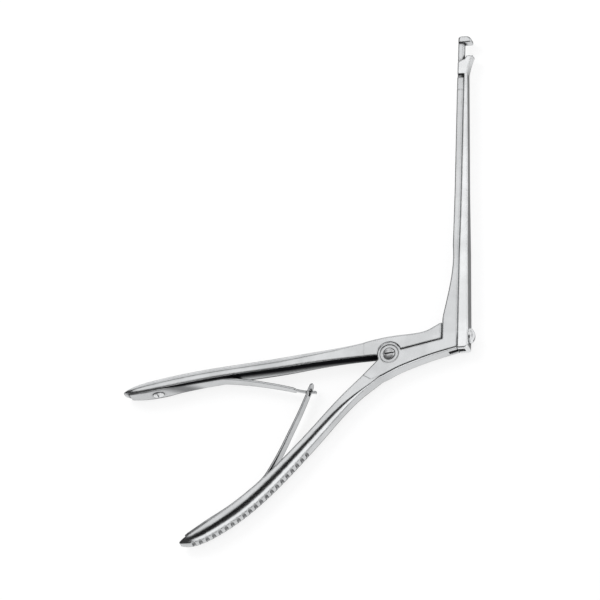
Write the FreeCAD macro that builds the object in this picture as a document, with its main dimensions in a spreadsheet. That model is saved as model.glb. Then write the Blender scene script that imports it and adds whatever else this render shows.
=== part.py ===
import FreeCAD, Part
import math
import os
from FreeCAD import Placement, Rotation, Vector

# Bone punch. Millimetres. +Z is up, away from the table that the punch lies on.
# +Y runs along the shaft to the hook. X and Y are measured from the pivot axis, and
# Z = 0 is the far flat side of the lap joint. Each body is drawn about its middle plane.

doc = FreeCAD.newDocument("bone_punch")
sheet = doc.addObject("Spreadsheet::Sheet", "sizes")

DRIVING_SIZES = [
    # plates and handles
    ("plate_thickness", 6.5, "frame and lever plates, across Z"),
    ("handle_width", 9.0, "handles at the grip, across Z"),
    ("handle_side", 1.8, "flat side of a handle at the grip"),
    ("handle_crown", 3.6, "height of the rounded back above the flat side"),
    ("edge_bevel", 0.35, "bevel on the inner edges of the handles"),
    ("groove_pitch", 3.0, "spacing of the grip grooves"),
    ("groove_radius", 0.8, "radius of the grooving cutter"),
    ("groove_depth", 0.75, "depth of the grip grooves at the crown"),
    ("underside_round", 1.0, "rounded edges of the frame's underside"),
    ("plate_bevel", 0.3, "bevel round the plates"),
    # lap joint
    ("lap_radius", 5.0, "round cheek of each half"),
    ("lap_gap", 0.06, "running gap round the cheeks and between them"),
    ("pivot_head_radius", 2.3, "pivot screw head"),
    ("pivot_head_seat", 0.8, "depth of the head's seat in the near cheek"),
    ("pivot_rim", 0.1, "straight edge of the pivot head above the cheek"),
    ("pivot_dome", 0.5, "height of the pivot head's dome"),
    ("ring_width", 1.7, "shallow ring cut round the pivot head"),
    ("ring_depth", 0.2, "depth of that ring"),
    ("pivot_shoulder_radius", 1.7, "bearing part of the pivot screw"),
    ("pivot_thread_radius", 1.3, "threaded part of the pivot screw"),
    ("running_gap", 0.03, "radial gap of a shaft in its hole"),
    # shaft
    ("slide_plane", 28.6, "X of the flat that the slide runs on"),
    ("slide_gap", 0.05, "gap between the slide and the frame"),
    ("shaft_left", 26.0, "X of the back of the fixed half"),
    ("shaft_thickness", 4.4, "slim part of the shaft, across Z"),
    ("shaft_bottom", 0.4, "Y of the bottom of the shaft"),
    ("taper_start", 44.0, "Y where the shaft starts to slim"),
    ("taper_end", 70.0, "Y where the shaft is slim"),
    ("mouth_height", 136.4, "Y of the hook's cutting face"),
    ("mouth_opening", 6.0, "from the hook to the slide's head, open"),
    ("closed_gap", 0.05, "gap left at the mouth when closed"),
    ("hook_height", 2.8, "thickness of the hook, along Y"),
    ("hook_reach", 5.5, "length of the hook across the shaft"),
    ("hook_width", 4.2, "width of the hook, across Z"),
    ("stem_depth", 2.4, "stem below the hook, along X"),
    ("stem_width", 2.9, "stem below the hook, across Z"),
    ("stem_round", 0.8, "rounded front edges of the stem"),
    ("hook_round", 0.6, "rounded edges of the hook"),
    ("collar_length", 8.0, "collar of the slide, along Y"),
    ("shoulder_gap", 1.5, "from the collar down to the shaft's shoulder"),
    ("corner_round", 2.4, "rounded front corner of the hook"),
    ("small_round", 1.2, "rounded corners of the shaft"),
    ("recess_length", 5.5, "slightly thinner flat below the shoulder"),
    ("recess_step", 0.2, "depth of that flat"),
    ("slide_depth_bottom", 4.5, "slide at its bottom, along X"),
    ("slide_depth_top", 1.5, "slide below the head, along X"),
    ("head_reach", 3.5, "head's top edge, beyond the slide plane"),
    ("cup_depth", 1.0, "hollow in the head's cutting face"),
    ("cup_rim", 0.55, "rim round that hollow"),
    # guides
    ("rib_depth", 0.9, "dovetail ribs of the slide"),
    ("rib_neck", 1.4, "dovetail groove at the slide plane"),
    ("rib_foot", 2.2, "dovetail groove at its floor"),
    ("rib_length", 8.0, "length of each rib"),
    ("low_rib", 26.0, "Y of the lower rib's bottom"),
    ("high_rib", 98.0, "Y of the upper rib's bottom"),
    ("rib_end_gap", 1.0, "spare length at each end of a groove"),
    # coupling
    ("coupling_height", 6.4, "Y of the coupling screw, open"),
    ("dog_radius", 0.9, "plain end of the coupling screw"),
    ("fork_gap", 0.08, "gap on each side of the plain end"),
    ("fork_relief", 0.22, "extra width of the fork behind its contact"),
    ("fork_depth", 2.3, "straight part of the fork behind its contact"),
    ("prong_radius", 0.7, "rounded end of each prong"),
    ("prong_end_gap", 0.5, "from the prongs to the end of their slot"),
    ("tongue_thickness", 2.3, "tongue of the lever, across Z"),
    ("tongue_gap", 0.1, "gap on each side of the tongue"),
    ("coupling_head_radius", 3.1, "head of the coupling screw"),
    ("coupling_head_rim", 0.9, "straight edge of that head"),
    ("coupling_head_dome", 1.5, "dome of that head"),
    ("coupling_shank_radius", 1.25, "threaded part of the coupling screw"),
    ("slide_wall", 1.6, "wall of the slide that holds the thread"),
    # springs
    ("spring_thickness", 0.8, "spring strips"),
    ("spring_foot_width", 8.6, "stock that the spring strips are cut from, across Z"),
    ("foot_margin", 0.4, "handle that shows beside the spring strips"),
    ("spring_width", 5.6, "spring strips where they leave the handles, across Z"),
    ("spring_tip_width", 4.2, "spring strips near their tips, across Z"),
    ("spring_seat_gap", 0.02, "strip above the handle's inner face"),
    ("flex_gap", 0.04, "gap where the free leaf meets its clamped part"),
    ("hook_tongue_width", 1.6, "tongue of the front leaf, across Z"),
    ("hook_tongue_thickness", 0.6, "tongue of the front leaf"),
    ("eye_width", 2.2, "eye of the rear leaf, across Z"),
    ("eye_length", 2.8, "eye of the rear leaf, along it"),
    ("spring_screw_head", 2.2, "radius of the spring screws' heads"),
    ("spring_screw_rim", 0.35, "straight edge of those heads"),
    ("spring_screw_dome", 0.75, "dome of those heads"),
    ("spring_screw_radius", 1.1, "shank of the spring screws"),
    ("spring_screw_depth", 3.0, "shank below the handle's inner face"),
    ("spring_screw_gap", 0.15, "gap round the shank in the strip"),
    ("driver_slot", 0.7, "width of the screwdriver slots"),
    ("driver_depth", 0.9, "depth of the screwdriver slots"),
    ("small_driver_depth", 0.6, "depth of the slots in the spring screws"),
]


def fill_sheet():
    for row, (alias, value, note) in enumerate(DRIVING_SIZES, start=1):
        sheet.set(f"A{row}", note)
        sheet.set(f"B{row}", str(value))
        sheet.setAlias(f"B{row}", alias)
    doc.recompute()


def size(alias):
    return float(sheet.get(alias))


fill_sheet()

HALF_PLATE = size("plate_thickness") / 2
TRAVEL = size("mouth_opening") - size("closed_gap")
PAST = 3.0  # how far a cutting sketch runs past the metal
SLANT = 0.15  # an edge that climbs less than this counts as level
CORE = size("stem_width") / 2 - 0.1  # edges nearer to the middle plane aren't dressed
NEAR = 0.01
THROUGH = 60.0  # a cut that goes right through

SHOULDER = size("mouth_height") - size("mouth_opening") - size("collar_length") - size("shoulder_gap")
HEAD_TOP = size("mouth_height") - size("mouth_opening")
COLLAR_BOTTOM = HEAD_TOP - size("collar_length")
STEM_RIGHT = size("shaft_left") + size("stem_depth")
SLIDE_LEFT = size("slide_plane") + size("slide_gap")
SLIDE_RIGHT = size("slide_plane") + size("slide_depth_bottom")

# Where the fork meets the coupling screw, open, and how far the lever turns to close the mouth
FORK_ROOM_RIGHT = SLIDE_RIGHT - size("slide_wall")
CONTACT = (FORK_ROOM_RIGHT - size("prong_radius") - size("prong_end_gap"), size("coupling_height"))
STROKE = math.asin((CONTACT[1] + TRAVEL) / math.hypot(*CONTACT)) - math.atan2(CONTACT[1], CONTACT[0])


# Plane geometry

def polar(radius, angle):
    return (radius * math.cos(angle), radius * math.sin(angle))


def plus(point, direction, amount):
    return (point[0] + direction[0] * amount, point[1] + direction[1] * amount)


def unit(start, end):
    length = math.dist(start, end)
    return ((end[0] - start[0]) / length, (end[1] - start[1]) / length)


def left_of(direction):
    return (-direction[1], direction[0])


class Outline:
    """A closed run of lines, arcs and smooth curves in a sketch's plane."""

    def __init__(self, x, y):
        self.first = self.last = Vector(x, y, 0)
        self.edges = []

    def line(self, x, y):
        end = Vector(x, y, 0)
        self.edges.append(Part.LineSegment(self.last, end))
        self.last = end
        return self

    def arc(self, via, end):
        end = Vector(*end, 0)
        self.edges.append(Part.Arc(self.last, Vector(*via, 0), end))
        self.last = end
        return self

    def rounded(self, corner, towards, radius):
        """A line to near a square corner, then a quarter arc round it."""
        back = unit(corner, (self.last.x, self.last.y))
        ahead = unit(corner, towards)
        bulge = radius * (1 - math.sqrt(0.5))
        via = plus(plus(corner, back, bulge), ahead, bulge)
        return self.line(*plus(corner, back, radius)).arc(via, plus(corner, ahead, radius))

    def dome(self, half, height):
        """Half an ellipse, wider than it is high, from the right-hand side over to the left."""
        middle = Vector(0, self.last.y, 0)
        right = middle + Vector(half, 0, 0)
        ellipse = Part.Ellipse(right, middle + Vector(0, height, 0), middle)
        self.edges.append(Part.ArcOfEllipse(ellipse, 0, math.pi))
        self.last = middle - Vector(half, 0, 0)
        return self

    def curve(self, *points):
        run = [self.last] + [Vector(x, y, 0) for x, y in points]
        spline = Part.BSplineCurve()
        spline.interpolate(run)
        self.edges.append(spline)
        self.last = run[-1]
        return self

    def close(self):
        if self.last.distanceToPoint(self.first) > 1e-6:
            self.edges.append(Part.LineSegment(self.last, self.first))
        return self.edges


def box_outline(low, high):
    return Outline(*low).line(high[0], low[1]).line(*high).line(low[0], high[1]).close()


def polygon(points):
    shape = Outline(*points[0])
    for point in points[1:]:
        shape.line(*point)
    return shape.close()


def circle(x, y, radius):
    return [Part.Circle(Vector(x, y, 0), Vector(0, 0, 1), radius)]


def mirrored(points):
    return [(x, -y) for x, y in points]


# Features

def new_body(name):
    body = doc.addObject("PartDesign::Body", name)
    body.Label = name
    body.setExpression("Placement.Base.z", "sizes.plate_thickness / 2")
    return body


def sketch(body, plane, edges, offset=None):
    made = body.newObject("Sketcher::SketchObject", body.Name + "_sketch")
    origin = [item for item in body.Origin.OriginFeatures if item.Role == plane][0]
    made.AttachmentSupport = [(origin, "")]
    made.MapMode = "FlatFace"
    made.AttachmentOffset = offset or Placement()
    made.addGeometry(edges, False)
    return made


def lifted(distance):
    return Placement(Vector(0, 0, distance), Rotation())


def across(point, normal):
    """A sketch plane that stands at a point, facing along a direction in the XY plane."""
    side = Vector(-normal[1], normal[0], 0)
    turn = Rotation(side, Vector(0, 0, 1), Vector(normal[0], normal[1], 0), "ZXY")
    return Placement(Vector(point[0], point[1], 0), turn)


def extrude(kind, body, profile, length, symmetric, flipped):
    made = body.newObject(kind, body.Name + "_" + kind.split("::")[1].lower())
    made.Profile = profile
    if isinstance(length, str):
        made.setExpression("Length", length)
    else:
        made.Length = length
    if symmetric:
        made.SideType = "Symmetric"
    made.Reversed = flipped
    return made


def pad(body, profile, length, symmetric=True, flipped=False):
    return extrude("PartDesign::Pad", body, profile, length, symmetric, flipped)


def pocket(body, profile, length, symmetric=True, flipped=False):
    """A cut. One-sided, it goes against the sketch's normal unless flipped."""
    before = solid_volume(body)
    made = extrude("PartDesign::Pocket", body, profile, length, symmetric, flipped)
    if solid_volume(body) > before - 1e-4:
        raise RuntimeError(made.Name + " cuts nothing")
    return made


def solid_volume(body):
    doc.recompute()
    return body.Shape.Volume


def dress(kind, body, expression, chosen):
    """A fillet or chamfer on the level edges that a test on middle point and direction picks."""
    doc.recompute()
    base = body.Tip
    names = []
    for index, edge in enumerate(base.Shape.Edges, start=1):
        at = (edge.FirstParameter + edge.LastParameter) / 2
        middle = edge.valueAt(at)
        along = edge.tangentAt(at)
        if abs(along.z) < SLANT and abs(middle.z) > CORE and chosen(middle, along):
            names.append(f"Edge{index}")
    made = body.newObject("PartDesign::" + kind, f"{body.Name}_{kind.lower()}")
    made.Base = (base, names)
    made.setExpression("Size" if kind == "Chamfer" else "Radius", expression)
    doc.recompute()
    if "Invalid" in made.State:
        raise RuntimeError(f"{made.Name} fails on {names}")
    return made


def revolve(body, profile, axis):
    made = body.newObject("PartDesign::Revolution", body.Name + "_turned")
    made.Profile = profile
    made.ReferenceAxis = (profile, [axis])
    made.Angle = 360
    return made


# Handles: a flat inner face, straight sides and a rounded back

class Handle:
    """Stations along the inner face, each with its share of the full width and depth."""

    def __init__(self, stations, back):
        self.stations = stations
        self.back = back  # +1 when the back lies left of the way from root to tip
        self.line = Part.BSplineCurve()
        self.line.interpolate([Vector(x, y, 0) for x, y, *_ in stations])

    def normal(self, point):
        tangent = self.line.tangent(self.line.parameter(Vector(*point, 0)))[0]
        return (-tangent.y * self.back, tangent.x * self.back)

    def section(self, station):
        """Half width, side, crown and bevel at a station, from the share of each."""
        x, y, width, side, crown = station
        half = size("handle_width") * width / 2
        bevel = size("edge_bevel") * width
        return half, size("handle_side") * side, size("handle_crown") * crown, bevel

    def section_sketch(self, body, station):
        half, side, crown, bevel = self.section(station)
        point = station[:2]
        normal = self.normal(point)
        turn = Rotation(
            Vector(0, 0, 1), Vector(normal[0], normal[1], 0), Vector(-normal[1], normal[0], 0), "YXZ"
        )
        edges = (
            Outline(-half + bevel, 0)
            .line(half - bevel, 0)
            .line(half, bevel)
            .line(half, side)
            .dome(half, crown)
            .line(-half, bevel)
            .close()
        )
        return sketch(body, "XY_Plane", edges, Placement(Vector(*point, 0), turn))

    def loft(self, body):
        sections = [self.section_sketch(body, station) for station in self.stations]
        made = body.newObject("PartDesign::AdditiveLoft", body.Name + "_handle")
        made.Profile = sections[0]
        made.Sections = sections[1:]
        return made

    def crown_line(self):
        points = []
        for station in self.stations:
            half, side, crown, bevel = self.section(station)
            x, y = plus(station[:2], self.normal(station[:2]), side + crown)
            points.append(Vector(x, y, 0))
        line = Part.BSplineCurve()
        line.interpolate(points)
        return line

    def grooves(self, body, first, last):
        """Cross grooves over the back, from one distance along it to another."""
        line = self.crown_line()
        rise = size("groove_radius") - size("groove_depth")
        edges = []
        for index in range(round((last - first) / size("groove_pitch")) + 1):
            along = first + index * size("groove_pitch")
            at = line.parameterAtDistance(along, line.FirstParameter)
            point = line.value(at)
            tangent = line.tangent(at)[0]
            out = (-tangent.y * self.back, tangent.x * self.back)
            centre = plus((point.x, point.y), out, rise)
            edges += circle(*centre, size("groove_radius"))
        pocket(body, sketch(body, "XY_Plane", edges), "2 * sizes.handle_width")

    def point_at(self, x):
        """The inner face's point whose X is given."""
        low, high = self.line.FirstParameter, self.line.LastParameter
        for _ in range(50):
            middle = (low + high) / 2
            if self.line.value(middle).x > x:
                low = middle
            else:
                high = middle
        point = self.line.value(low)
        return (point.x, point.y)

    def half_width(self, x):
        """Half the handle's width, straight between its stations."""
        for (start, _, wide, *_), (end, _, narrow_end, *_) in zip(self.stations, self.stations[1:]):
            if end <= x <= start:
                share = (x - start) / (end - start)
                return size("handle_width") / 2 * (wide + (narrow_end - wide) * share)
        raise ValueError(f"no handle at X {x}")

    def offset_run(self, start_x, end_x, offset, steps):
        """Points beside the inner face, on its free side, from one X to another."""
        run = []
        for index in range(steps + 1):
            point = self.point_at(start_x + (end_x - start_x) * index / steps)
            run.append(plus(point, self.normal(point), -offset))
        return run


# share of the full width, of the side and of the crown at each station
FRONT_HANDLE = Handle(
    [
        (-8.0, -0.3, 0.722, 3.45, 0.18),
        (-16.5, -0.6, 0.722, 2.67, 0.35),
        (-25.0, -1.1, 0.78, 1.97, 0.60),
        (-36.0, -2.1, 0.90, 1.43, 0.85),
        (-46.0, -3.1, 0.97, 1.13, 1.00),
        (-60.0, -4.1, 1.00, 1.00, 1.00),
        (-75.5, -5.4, 1.00, 1.00, 1.00),
        (-90.0, -7.2, 1.00, 1.00, 1.00),
        (-100.0, -8.5, 0.96, 0.90, 0.95),
        (-106.5, -8.9, 0.84, 0.65, 0.78),
        (-110.6, -8.7, 0.62, 0.37, 0.50),
        (-112.4, -8.2, 0.30, 0.20, 0.20),
    ],
    -1,
)
REAR_HANDLE = Handle(
    [
        (-6.6, -4.2, 0.722, 3.25, 0.27),
        (-13.4, -10.8, 0.722, 2.60, 0.29),
        (-19.8, -17.1, 0.80, 1.75, 0.62),
        (-28.6, -27.0, 0.93, 1.10, 0.92),
        (-37.3, -36.7, 1.00, 0.90, 1.06),
        (-46.0, -45.6, 1.00, 0.90, 1.16),
        (-54.7, -53.8, 1.00, 0.96, 1.22),
        (-66.9, -63.4, 1.00, 1.02, 1.23),
        (-76.0, -69.3, 0.96, 0.90, 1.17),
        (-82.1, -73.0, 0.84, 0.62, 0.98),
        (-85.9, -75.2, 0.62, 0.37, 0.58),
        (-87.6, -76.2, 0.30, 0.20, 0.20),
    ],
    1,
)

# Distances of the first and last grooves along the back
FRONT_GROOVES_FROM = 42.0
FRONT_GROOVES_TO = 99.0
REAR_GROOVES_FROM = 46.0
REAR_GROOVES_TO = 106.0

# The line between the frame's ledge and the lever's arm
LEDGE_START = (4.9, 1.6)
LEDGE_END = (21.6, 4.85)
LEDGE_DIRECTION = unit(LEDGE_START, LEDGE_END)
LEDGE_END_X = 22.2
LEDGE_NORMAL = left_of(LEDGE_DIRECTION)
CHEEK_CORNER_X = 4.75


def ledge_point(x, lift=0.0):
    run = (x - LEDGE_START[0]) / LEDGE_DIRECTION[0]
    return plus(plus(LEDGE_START, LEDGE_DIRECTION, run), LEDGE_NORMAL, lift)


def on_circle(point, radius):
    """The point moved along its ray from the pivot onto a circle."""
    return polar(radius, math.atan2(point[1], point[0]))


# Frame: rear handle, near cheek, web, fixed half of the shaft, stem and hook

FRAME_CHEEK_END = math.radians(205)
REAR_ROOT = [(-6.6, -4.2), (-10.9, -8.6)]  # upper edge where the handle starts
UNDERSIDE = [
    (-6.7, -11.2), (-2.9, -10.0), (3.2, -7.1), (9.6, -4.75), (16.0, -2.7), (22.4, -1.05),
]
WEB_BACK = [(25.5, 31.0), (23.8, 21.5), (LEDGE_END_X, 13.6)]
WEB_TOP = 46.0


def frame_outline():
    left = size("shaft_left")
    hook_right = left + size("hook_reach")
    top = size("mouth_height") + size("hook_height")
    bottom = (size("slide_plane"), size("shaft_bottom"))
    return (
        Outline(*bottom)
        .line(size("slide_plane"), SHOULDER)
        .line(STEM_RIGHT, SHOULDER)
        .line(STEM_RIGHT, size("mouth_height"))
        .line(hook_right, size("mouth_height"))
        .rounded((hook_right, top), (left, top), size("corner_round"))
        .rounded((left, top), (left, 0), size("small_round"))
        .line(left, WEB_TOP)
        .curve(*WEB_BACK)
        .line(*ledge_point(LEDGE_END_X))
        .line(*on_circle(ledge_point(CHEEK_CORNER_X), size("lap_radius")))
        .arc((0, size("lap_radius")), polar(size("lap_radius"), FRAME_CHEEK_END))
        .line(*REAR_ROOT[0])
        .line(*REAR_ROOT[1])
        .line(*UNDERSIDE[0])
        .curve(*UNDERSIDE[1:], bottom)
        .close()
    )


def side_cut(steps, top):
    """Metal to take off one side of the shaft. Steps are (Y, half thickness)."""
    outside = HALF_PLATE + PAST
    return [(steps[0][0], outside)] + steps + [(top, steps[-1][1]), (top, outside)]


def cut_both_sides(body, points):
    edges = polygon(points) + polygon(mirrored(points))
    pocket(body, sketch(body, "YZ_Plane", edges), 2 * THROUGH + 2 * size("slide_plane"))


def slim_steps():
    half = size("shaft_thickness") / 2
    return [(size("taper_start"), HALF_PLATE), (size("taper_end"), half)]


def frame_sides(body):
    half = size("shaft_thickness") / 2
    recess = SHOULDER - size("recess_length")
    steps = slim_steps() + [
        (recess, half),
        (recess, half - size("recess_step")),
        (SHOULDER, half - size("recess_step")),
        (SHOULDER, size("stem_width") / 2),
        (size("mouth_height"), size("stem_width") / 2),
        (size("mouth_height"), size("hook_width") / 2),
    ]
    cut_both_sides(body, side_cut(steps, size("mouth_height") + size("hook_height") + PAST))


def dovetail(gap, inner_x):
    """Half profile of a guide, from inside the slide down to its foot."""
    slope = (size("rib_foot") - size("rib_neck")) / 2 / size("rib_depth")
    foot_x = size("slide_plane") - size("rib_depth") + gap
    neck = size("rib_neck") / 2 - gap
    foot = neck + slope * (size("slide_plane") - foot_x)
    upper = [(inner_x, neck), (size("slide_plane"), neck), (foot_x, foot)]
    lower = [(x, -z) for x, z in reversed(upper)]
    return polygon(upper + lower)


def guide_grooves(body):
    """Two dovetail grooves, each with an open window below it to put the rib in."""
    length = size("rib_length") + TRAVEL + 2 * size("rib_end_gap")
    window = size("rib_length") + size("rib_end_gap")
    for start in (size("low_rib"), size("high_rib")):
        floor = start - size("rib_end_gap")
        groove = sketch(body, "XZ_Plane", dovetail(0, size("slide_plane") + PAST), lifted(-floor))
        pocket(body, groove, length, symmetric=False)
        half = size("rib_foot") / 2
        low = (size("slide_plane") - size("rib_depth"), -half)
        high = (size("slide_plane") + PAST, half)
        opening = sketch(body, "XZ_Plane", box_outline(low, high), lifted(-(floor - window)))
        pocket(body, opening, window, symmetric=False)


SLOT_LEFT = 20.0
SLOT_TOP = size("coupling_height") + TRAVEL + 3.0
SLOT_BACK = [(24.6, -PAST), (24.6, 1.6), (SLOT_LEFT, 4.2)]


def tongue_slot(body):
    """Room in the web for the lever's tongue, open to the slide and at the bottom."""
    right = size("slide_plane") + PAST
    points = [(SLOT_LEFT, SLOT_TOP), (right, SLOT_TOP), (right, -PAST)] + SLOT_BACK
    width = "sizes.tongue_thickness + 2 * sizes.tongue_gap"
    pocket(body, sketch(body, "XY_Plane", polygon(points)), width)


def cheek_cuts(body):
    far_half = circle(0, 0, size("lap_radius") + size("lap_gap"))
    pocket(body, sketch(body, "XY_Plane", far_half, lifted(size("lap_gap") / 2)), THROUGH, False)
    bearing = circle(0, 0, size("pivot_shoulder_radius") + size("running_gap"))
    pocket(body, sketch(body, "XY_Plane", bearing), THROUGH)
    seat = circle(0, 0, size("pivot_head_radius") + size("lap_gap"))
    pocket(body, sketch(body, "XY_Plane", seat, lifted(HALF_PLATE)), "sizes.pivot_head_seat", False)
    ring = circle(0, 0, size("pivot_head_radius") + size("ring_width"))
    pocket(body, sketch(body, "XY_Plane", ring, lifted(HALF_PLATE)), "sizes.ring_depth", False)


def screw_hole(body, handle, x):
    point = handle.point_at(x)
    inward = handle.normal(point)
    hole = circle(0, 0, size("spring_screw_radius") + size("running_gap"))
    plane = across(plus(point, inward, -PAST), inward)
    depth = size("spring_screw_depth") + PAST + size("running_gap")
    pocket(body, sketch(body, "XY_Plane", hole, plane), depth, False, True)


def on_underside(middle, along):
    return middle.y < size("shaft_bottom") and middle.x > 0


def beside_slide_or_ledge(middle, along):
    on_plane = abs(middle.x - size("slide_plane")) < NEAR
    on_ledge = CHEEK_CORNER_X < middle.x < LEDGE_END_X + NEAR and 0 < middle.y < WEB_BACK[-1][1]
    return on_ledge or (on_plane and middle.y < SHOULDER - size("recess_length"))


def on_hook(middle, along):
    inside = abs(middle.z) < size("hook_width") / 2 - NEAR
    return middle.y > size("mouth_height") + NEAR and not inside


def on_stem(middle, along):
    on_front = abs(middle.x - STEM_RIGHT) < NEAR
    return on_front and SHOULDER + NEAR < middle.y < size("mouth_height") - NEAR


def make_frame():
    body = new_body("frame")
    pad(body, sketch(body, "XY_Plane", frame_outline()), "sizes.plate_thickness")
    dress("Fillet", body, "sizes.underside_round", on_underside)
    frame_sides(body)
    dress("Chamfer", body, "sizes.plate_bevel", beside_slide_or_ledge)
    dress("Fillet", body, "sizes.hook_round", on_hook)
    dress("Fillet", body, "sizes.stem_round", on_stem)
    REAR_HANDLE.loft(body)
    cheek_cuts(body)
    tongue_slot(body)
    guide_grooves(body)
    REAR_HANDLE.grooves(body, REAR_GROOVES_FROM, REAR_GROOVES_TO)
    screw_hole(body, REAR_HANDLE, REAR_SCREW_X)
    return body


# Lever: front handle, far cheek, front arm and the forked tongue

LEVER_CHEEK_END = math.radians(184)
ARM_END_GAP = 0.3  # between the end of the lever's arm and the web
ARM_TOP = [
    (21.1, 12.0), (18.9, 10.8), (15.7, 9.2), (12.0, 8.4), (2.8, 7.9), (-3.7, 7.2), (-11.0, 5.8),
]
ARM_CORNER_Y = 12.1
FRONT_ROOT = (-11.0, -0.3)


def lever_outline():
    lift = size("lap_gap")
    end_x = LEDGE_END_X - ARM_END_GAP
    radius = size("lap_radius")
    return (
        Outline(*ledge_point(end_x, lift))
        .line(end_x, ARM_CORNER_Y)
        .line(*ARM_TOP[0])
        .curve(*ARM_TOP[1:])
        .line(*FRONT_ROOT)
        .line(*polar(radius, LEVER_CHEEK_END))
        .arc((0, -radius), on_circle(ledge_point(CHEEK_CORNER_X, lift), radius))
        .close()
    )


def fork_direction():
    """The fork's slot is level half way through the stroke."""
    return polar(1, -STROKE / 2)


TONGUE_ROOT = [(19.0, 9.6), (19.0, 5.2)]  # buried in the lever's arm


def tongue_outline():
    along = fork_direction()
    beside = left_of(along)
    prong = size("prong_radius")
    inner = size("dog_radius") + size("fork_gap")
    middle = inner + prong
    outer = middle + prong
    relief = inner + size("fork_relief")
    deep = -size("fork_depth")

    def at(forward, sideways):
        return plus(plus(CONTACT, along, forward), beside, sideways)

    return (
        Outline(*TONGUE_ROOT[0])
        .line(*TONGUE_ROOT[1])
        .line(*at(2 * deep, -outer))
        .line(*at(0, -outer))
        .arc(at(prong, -middle), at(0, -inner))
        .line(*at(-prong, -relief))
        .line(*at(deep, -relief))
        .arc(at(deep - relief, 0), at(deep, relief))
        .line(*at(-prong, relief))
        .line(*at(0, inner))
        .arc(at(prong, middle), at(0, outer))
        .line(*at(2 * deep, outer))
        .close()
    )


def make_lever():
    body = new_body("lever")
    pad(body, sketch(body, "XY_Plane", lever_outline()), "sizes.plate_thickness")
    dress("Chamfer", body, "sizes.plate_bevel", lambda middle, along: True)
    FRONT_HANDLE.loft(body)
    near_half = circle(0, 0, size("lap_radius") + size("lap_gap"))
    low = lifted(-size("lap_gap") / 2)
    pocket(body, sketch(body, "XY_Plane", near_half, low), THROUGH, False, True)
    pad(body, sketch(body, "XY_Plane", tongue_outline()), "sizes.tongue_thickness")
    thread = circle(0, 0, size("pivot_thread_radius") + size("running_gap"))
    pocket(body, sketch(body, "XY_Plane", thread), THROUGH)
    FRONT_HANDLE.grooves(body, FRONT_GROOVES_FROM, FRONT_GROOVES_TO)
    screw_hole(body, FRONT_HANDLE, FRONT_SCREW_X)
    return body


# Slide: the moving half of the shaft

# Y where the slide starts to get shallower, clear of the screw's seat
BLOCK_TOP = size("coupling_height") + size("coupling_head_radius") + 0.4
HEAD_FLARE_SAG = (0.7, 3.7)  # a point on the flared front of the head, above the collar's bottom
HEAD_BACK = STEM_RIGHT + 1.2  # X of the back of the cutting edge
HEAD_FALL = 1.4  # behind the cutting edge the head falls away by this
COLLAR_FALL = 3.0  # from the cutting edge down to the collar's top
COLLAR_SLOPE = [
    (STEM_RIGHT + 0.4, HEAD_TOP - HEAD_FALL),
    (size("shaft_left") + 0.3, HEAD_TOP - COLLAR_FALL + 0.6),
]


def slide_outline():
    left = SLIDE_LEFT
    bottom = size("shaft_bottom")
    collar_left = size("shaft_left")
    neck_x = size("slide_plane") + size("slide_depth_top")
    head_x = size("slide_plane") + size("head_reach")
    return (
        Outline(left, bottom)
        .rounded((SLIDE_RIGHT, bottom), (SLIDE_RIGHT, BLOCK_TOP), size("small_round"))
        .line(SLIDE_RIGHT, BLOCK_TOP)
        .line(neck_x, COLLAR_BOTTOM)
        .curve(plus((neck_x, COLLAR_BOTTOM), HEAD_FLARE_SAG, 1), (head_x, HEAD_TOP))
        .line(HEAD_BACK, HEAD_TOP)
        .line(*COLLAR_SLOPE[0])
        .line(*COLLAR_SLOPE[1])
        .line(collar_left, HEAD_TOP - COLLAR_FALL)
        .line(collar_left, COLLAR_BOTTOM)
        .line(left, COLLAR_BOTTOM)
        .close()
    )


def collar_slot(body):
    low = (size("shaft_left") - PAST, COLLAR_BOTTOM - PAST)
    high = (STEM_RIGHT + size("slide_gap"), HEAD_TOP + PAST)
    width = "sizes.stem_width + 2 * sizes.slide_gap"
    pocket(body, sketch(body, "XY_Plane", box_outline(low, high)), width)


FORK_ROOM_ABOVE = 3.4  # above the coupling screw's axis
RIB_ROOT = 0.4  # the ribs start this far inside the slide


def fork_room(body):
    """Slot in the lower block, open to the left and at the bottom, for the fork."""
    low = (SLIDE_LEFT - PAST, size("shaft_bottom") - PAST)
    high = (FORK_ROOM_RIGHT, size("coupling_height") + FORK_ROOM_ABOVE)
    width = "sizes.tongue_thickness + 2 * sizes.tongue_gap"
    pocket(body, sketch(body, "XY_Plane", box_outline(low, high)), width)


def coupling_hole(body):
    hole = circle(size("coupling_height"), 0, size("coupling_shank_radius") + size("running_gap"))
    plane = lifted(SLIDE_RIGHT + PAST)
    pocket(body, sketch(body, "YZ_Plane", hole, plane), PAST + size("slide_depth_bottom"), False)


def guide_ribs(body):
    for start in (size("low_rib"), size("high_rib")):
        profile = dovetail(size("slide_gap"), SLIDE_LEFT + RIB_ROOT)
        rib = sketch(body, "XZ_Plane", profile, lifted(-start))
        pad(body, rib, "sizes.rib_length", symmetric=False, flipped=True)


def cutting_cup(body):
    left = HEAD_BACK + size("cup_rim")
    right = size("slide_plane") + size("head_reach") - size("cup_rim")
    half = size("stem_width") / 2
    radius = (right - left) / 2
    edges = (
        Outline(left, half - radius)
        .line(left, radius - half)
        .arc(((left + right) / 2, -half), (right, radius - half))
        .line(right, half - radius)
        .arc(((left + right) / 2, half), (left, half - radius))
        .close()
    )
    cup = sketch(body, "XZ_Plane", edges, lifted(-HEAD_TOP))
    pocket(body, cup, "sizes.cup_depth", symmetric=False, flipped=True)


def on_slide_outline(middle, along):
    """Not the creases that cross the slide's sides."""
    return abs(along.x) < 0.9 or middle.y > HEAD_TOP - COLLAR_FALL or middle.y < BLOCK_TOP


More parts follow.
